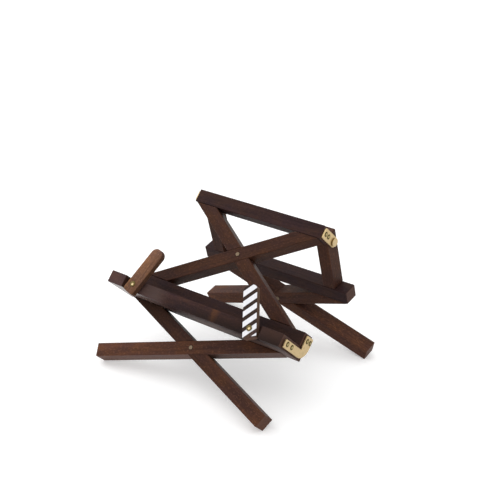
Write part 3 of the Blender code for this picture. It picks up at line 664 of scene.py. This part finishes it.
def make_bars(word, toward, seed, leg_light_drift):
    """The crossed bars that start at one side and rise toward the other, and that side's post.

    seed is the first of their seeds, which go up in twos, so that the two sides' seeds alternate.
    """
    front_leg = slanted_axes(FRONT_UP, FRONT_DEPTH, LEG_SLOPE, toward)
    back_bar = slanted_axes(FRONT_UP, FRONT_DEPTH, BACK_SLOPE, toward)
    rear_leg = slanted_axes(REAR_UP, REAR_DEPTH, LEG_SLOPE, toward)
    wood("front_leg_" + word, front_leg, seed, LEG, leg_light_drift, pale=underside)
    wood("back_bar_" + word, back_bar, seed + 2, LEG)
    wood("rear_leg_" + word, rear_leg, seed + 4, LEG, REAR_LEG_LIGHT_DRIFT)
    wood("rear_post_" + word, (REAR_UP, X, REAR_DEPTH), seed + 6, LEG)


def make_arms():
    left = arm_axes(LEFT_ARM_LEAN)
    right = arm_axes(RIGHT_ARM_LEAN)
    wood("page_arm_left", left, seed=13, color=ARM, light_drift=LEFT_ARM_LIGHT_DRIFT, wear=LEFT_ARM_WEAR, marks_and_shade=painted_arm_shade)
    striped_arm("page_arm_right", right, seed=14, color=STRIPED)


def make_dowels(nodes):
    """Light dowels, hidden in the joints. Those of the ledge and front legs have the painted floor light on
    their undersides too.
    """
    for node in nodes:
        if "dowel" in node:
            axes = (REAR_UP, X, REAR_DEPTH) if node.startswith("rear") else (FRONT_UP, X, FRONT_DEPTH)
            pale = underside if node.startswith(("ledge", "front_leg")) else None
            wood(node, axes, seed=15, color=DOWEL, pale=pale)


# Colours of the metal, and radii of its dark rings in millimetres: dirt and painted contact shadow round the
# rivets on the plates, painted dark reflection on the rivet and screw heads
PLATE_BRASS = (0.52, 0.39, 0.205)
RIVET_BRASS = (0.40, 0.325, 0.145)
RIVET_ROUGHNESS = 0.34
CROSSING_BRONZE = (0.17, 0.125, 0.085)
CROSSING_ROUGHNESS = 0.50
PIN_BRASS = (0.52, 0.40, 0.22)
SCREW_BRASS = (0.62, 0.49, 0.28)
SCREW_ROUGHNESS = 0.30
PLATE_DIRT_AND_SHADOW_RING = (1.70, 1.95)
RIVET_DARK_REFLECTION_RING = (1.12, 2.05)
SCREW_DARK_REFLECTION_RING = (1.10, 2.8)
# The screws' painted highlight is the bright brass inside their ring, shifted a little to the lower right.
SCREW_HIGHLIGHT_OFF = 0.35
SCREW_HIGHLIGHT_SHIFT = (X - FRONT_UP) * SCREW_HIGHLIGHT_OFF / MM_PER_METRE


def make_brass(nodes):
    """Plates, rivets, pins, washers and screws. The screws' rings of painted dark reflection lie a little to
    their lower right, and so does the painted highlight inside them.
    """
    plates = [node for node in nodes if node.endswith(("plate_left", "plate_right"))]
    rivets = [node for node in nodes if "plate" in node and "rivet" in node]
    crossings = [node for node in nodes if "rivet" in node and "plate" not in node]
    pins = [node for node in nodes if node.startswith(("hinge_pin", "arm_washer"))]
    screws = [node for node in nodes if node.startswith("arm_screw")]
    rivet_spots = [center(node) for node in nodes if "plate_right_rivet" in node]
    screw_spots = [center("arm_washer_" + word) + SCREW_HIGHLIGHT_SHIFT for word in ("left", "right")]
    end_view = (FRONT_DEPTH, FRONT_UP)
    front_view = (X, FRONT_UP)
    brass("plate_brass", plates, PLATE_BRASS, ring=(rivet_spots, end_view, *PLATE_DIRT_AND_SHADOW_RING))
    brass("rivet_brass", rivets, RIVET_BRASS, RIVET_ROUGHNESS, (rivet_spots, end_view, *RIVET_DARK_REFLECTION_RING))
    brass("crossing_bronze", crossings, CROSSING_BRONZE, CROSSING_ROUGHNESS)
    brass("pin_brass", pins, PIN_BRASS)
    brass("screw_brass", screws, SCREW_BRASS, SCREW_ROUGHNESS, (screw_spots, front_view, *SCREW_DARK_REFLECTION_RING))


WHITE = (1.0, 1.0, 1.0)
FLOOR_REACH = 4.0
FLOOR_COLOR = (0.90, 0.90, 0.90)
FLOOR_ROUGHNESS = 0.9
FLOOR_GLOW = 0.26


def make_floor():
    """A pale floor that keeps the stand's shadow, and looks white where it is seen directly."""
    corners = ((-1, -1), (1, -1), (1, 1), (-1, 1))
    mesh = bpy.data.meshes.new("floor")
    mesh.from_pydata([(FLOOR_REACH * x, FLOOR_REACH * y, 0.0) for x, y in corners], [], [(0, 1, 2, 3)])
    floor = bpy.data.objects.new("floor", mesh)
    bpy.context.scene.collection.objects.link(floor)
    graph, shader = new_surface("floor_white")
    shader.inputs["Base Color"].default_value = opaque(FLOOR_COLOR)
    shader.inputs["Roughness"].default_value = FLOOR_ROUGHNESS
    shader.inputs["Specular IOR Level"].default_value = 0.0
    glow = graph.node("ShaderNodeEmission", opaque(WHITE), graph.times(graph.seen_directly(), FLOOR_GLOW))
    both = graph.node("ShaderNodeAddShader", shader.outputs[0], glow.outputs[0])
    graph.put(graph.tree.nodes["Material Output"].inputs["Surface"], both.outputs[0])
    mesh.materials.append(graph.owner)


WORLD_LEVEL = 0.56


def make_world():
    """White where it is seen directly, and a weaker soft light elsewhere."""
    world = bpy.data.worlds.new("studio")
    bpy.context.scene.world = world
    graph = Graph(world)
    back = graph.tree.nodes["Background"]
    back.inputs["Color"].default_value = opaque(WHITE)
    strength = graph.spread(graph.seen_directly(), (0.0, 1.0), (WORLD_LEVEL, 1.0))
    graph.put(back.inputs["Strength"], strength)


# Lamps: where they stand, what they point at, and their strength
KEY_PLACE = (0.10, -0.78, 0.62)
KEY_STRENGTH = 1.05
KEY_ANGLE = math.radians(90)
TOP_PLACE = (-0.15, 0.20, 1.0)
TOP_STRENGTH = 0.90
TOP_ANGLE = math.radians(100)
STAND_MIDDLE = (0.0, 0.0, 0.05)
FILL_PLACE = (-0.55, -0.12, 0.30)
FILL_TARGET = (-0.02, -0.03, 0.06)
FILL_WATTS = 0.6
FILL_SIZE = 0.40


def lamp(name, kind, place, target, energy, **settings):
    data = bpy.data.lights.new(name, kind)
    data.energy = energy
    for key, value in settings.items():
        setattr(data, key, value)
    made = bpy.data.objects.new(name, data)
    bpy.context.scene.collection.objects.link(made)
    made.location = place
    made.rotation_euler = (Vector(target) - Vector(place)).to_track_quat("-Z", "Y").to_euler()


def make_lamps():
    lamp("key", "SUN", KEY_PLACE, STAND_MIDDLE, KEY_STRENGTH, angle=KEY_ANGLE)
    lamp("top_light", "SUN", TOP_PLACE, STAND_MIDDLE, TOP_STRENGTH, angle=TOP_ANGLE)
    lamp("left_fill", "AREA", FILL_PLACE, FILL_TARGET, FILL_WATTS, shape="DISK", size=FILL_SIZE)


# Camera, fitted to the photograph. Lens and sensor are in millimetres.
CAMERA_PLACE = (0.51066, -0.62321, 0.45849)
CAMERA_FORWARD = Vector((-0.5787, 0.7131, -0.3956))
CAMERA_LENS = 80.39
CAMERA_SENSOR = 36.0
CAMERA_NEAR = 0.01


def make_camera():
    data = bpy.data.cameras.new("camera")
    data.lens = CAMERA_LENS
    data.sensor_width = CAMERA_SENSOR
    data.clip_start = CAMERA_NEAR
    made = bpy.data.objects.new("camera", data)
    bpy.context.scene.collection.objects.link(made)
    made.location = CAMERA_PLACE
    made.rotation_euler = CAMERA_FORWARD.to_track_quat("-Z", "Y").to_euler()
    bpy.context.scene.camera = made


node_names = sorted(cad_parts)
make_rails()
make_bars("left", toward=1, seed=5, leg_light_drift=LEFT_LEG_LIGHT_DRIFT)
make_bars("right", toward=-1, seed=6, leg_light_drift=RIGHT_LEG_LIGHT_DRIFT)
make_arms()
make_dowels(node_names)
make_brass(node_names)
make_floor()
make_world()
make_lamps()
make_camera()
bpy.context.scene.view_settings.view_transform = "Standard"
